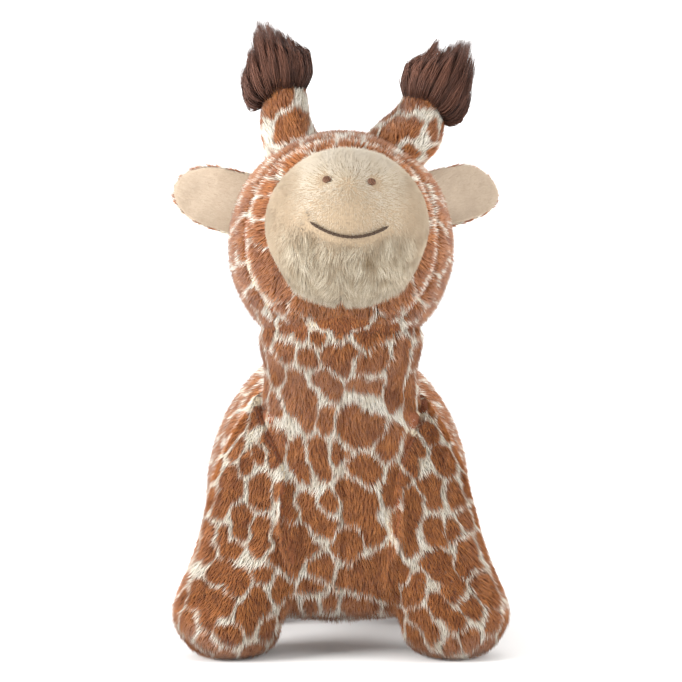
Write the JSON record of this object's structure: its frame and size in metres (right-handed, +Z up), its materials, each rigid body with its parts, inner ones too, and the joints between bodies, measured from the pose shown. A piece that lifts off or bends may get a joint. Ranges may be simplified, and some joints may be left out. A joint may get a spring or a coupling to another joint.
{
  "type": "plush giraffe",
  "caption": "Soft stuffed giraffe standing on splayed paws, with a big cream muzzle, leaf ears, dark-tufted horns, a tufted tail and a patchwork print.",
  "frame": {"origin": "centre of the giraffe's bounding box, on the flat surface under its paws", "axes": "+Z up, -Y ahead along the muzzle, +X to the right of someone who faces the giraffe"},
  "size_m": [0.177, 0.2876, 0.3318],
  "materials": {
    "printed_pile": "short dense pile, printed with brown patches on cream",
    "cream_pile": "short dense cream pile",
    "ear_velour": "smooth cream velour",
    "dark_long_pile": "long dark brown pile",
    "brown_thread": "embroidery thread",
    "sewing_thread": "matt sewing thread",
    "fibre_fill": "loose polyester fibre",
    "eye_plastic": "polished black plastic",
    "washer_plastic": "plain nylon"
  },
  "bodies": {
    "body": {"torso_cover": "printed_pile", "body_stuffing": "fibre_fill", "closing_stitches": "sewing_thread", "neck_and_chest": "printed_pile", "front_leg_left": "printed_pile", "front_leg_right": "printed_pile", "hind_leg_left": "printed_pile", "hind_leg_right": "printed_pile"},
    "head": {"face_cover": "printed_pile", "head_back_cover": "printed_pile", "head_stuffing": "fibre_fill", "muzzle": "cream_pile", "chin": "cream_pile", "mouth_stitching": "brown_thread", "nostril_left": "brown_thread", "nostril_right": "brown_thread", "eye_left": "eye_plastic", "eye_right": "eye_plastic", "eye_washer_left": "washer_plastic", "eye_washer_right": "washer_plastic"},
    "ear_left": {"ear_back_left": "printed_pile", "ear_lining_left": "ear_velour"},
    "ear_right": {"ear_back_right": "printed_pile", "ear_lining_right": "ear_velour"},
    "horn_left": {"horn_left": "printed_pile", "horn_tuft_left": "dark_long_pile"},
    "horn_right": {"horn_right": "printed_pile", "horn_tuft_right": "dark_long_pile"},
    "tail": {"tail": "printed_pile", "tail_tuft": "dark_long_pile"}
  },
  "joints": [
    {"name": "head_nod", "type": "hinge", "parent": "body", "child": "head", "pos_m": [0, -0.04026, 0.168], "axis": [1, 0, 0], "range_deg": [-10, 12], "stiffness_Nm_per_rad": 0.5},
    {"name": "ear_left_flap", "type": "hinge", "parent": "head", "child": "ear_left", "pos_m": [-0.05487, -0.03426, 0.2375], "axis": [0.4067, 0, 0.9135], "range_deg": [-20, 30], "stiffness_Nm_per_rad": 0.005},
    {"name": "ear_right_flap", "type": "hinge", "parent": "head", "child": "ear_right", "pos_m": [0.05486, -0.03426, 0.2375], "axis": [0.4067, 0, -0.9135], "range_deg": [-20, 30], "stiffness_Nm_per_rad": 0.005},
    {"name": "horn_left_flex", "type": "hinge", "parent": "head", "child": "horn_left", "pos_m": [-0.0255, -0.04026, 0.26729], "axis": [0, 1, 0], "range_deg": [-10, 10], "stiffness_Nm_per_rad": 0.03},
    {"name": "horn_right_flex", "type": "hinge", "parent": "head", "child": "horn_right", "pos_m": [0.0325, -0.04026, 0.26298], "axis": [0, 1, 0], "range_deg": [-10, 10], "stiffness_Nm_per_rad": 0.03},
    {"name": "tail_swing", "type": "hinge", "parent": "body", "child": "tail", "pos_m": [-0.0018, 0.11734, 0.112], "axis": [0, 1, 0], "range_deg": [-35, 35], "stiffness_Nm_per_rad": 0.003}
  ]
}
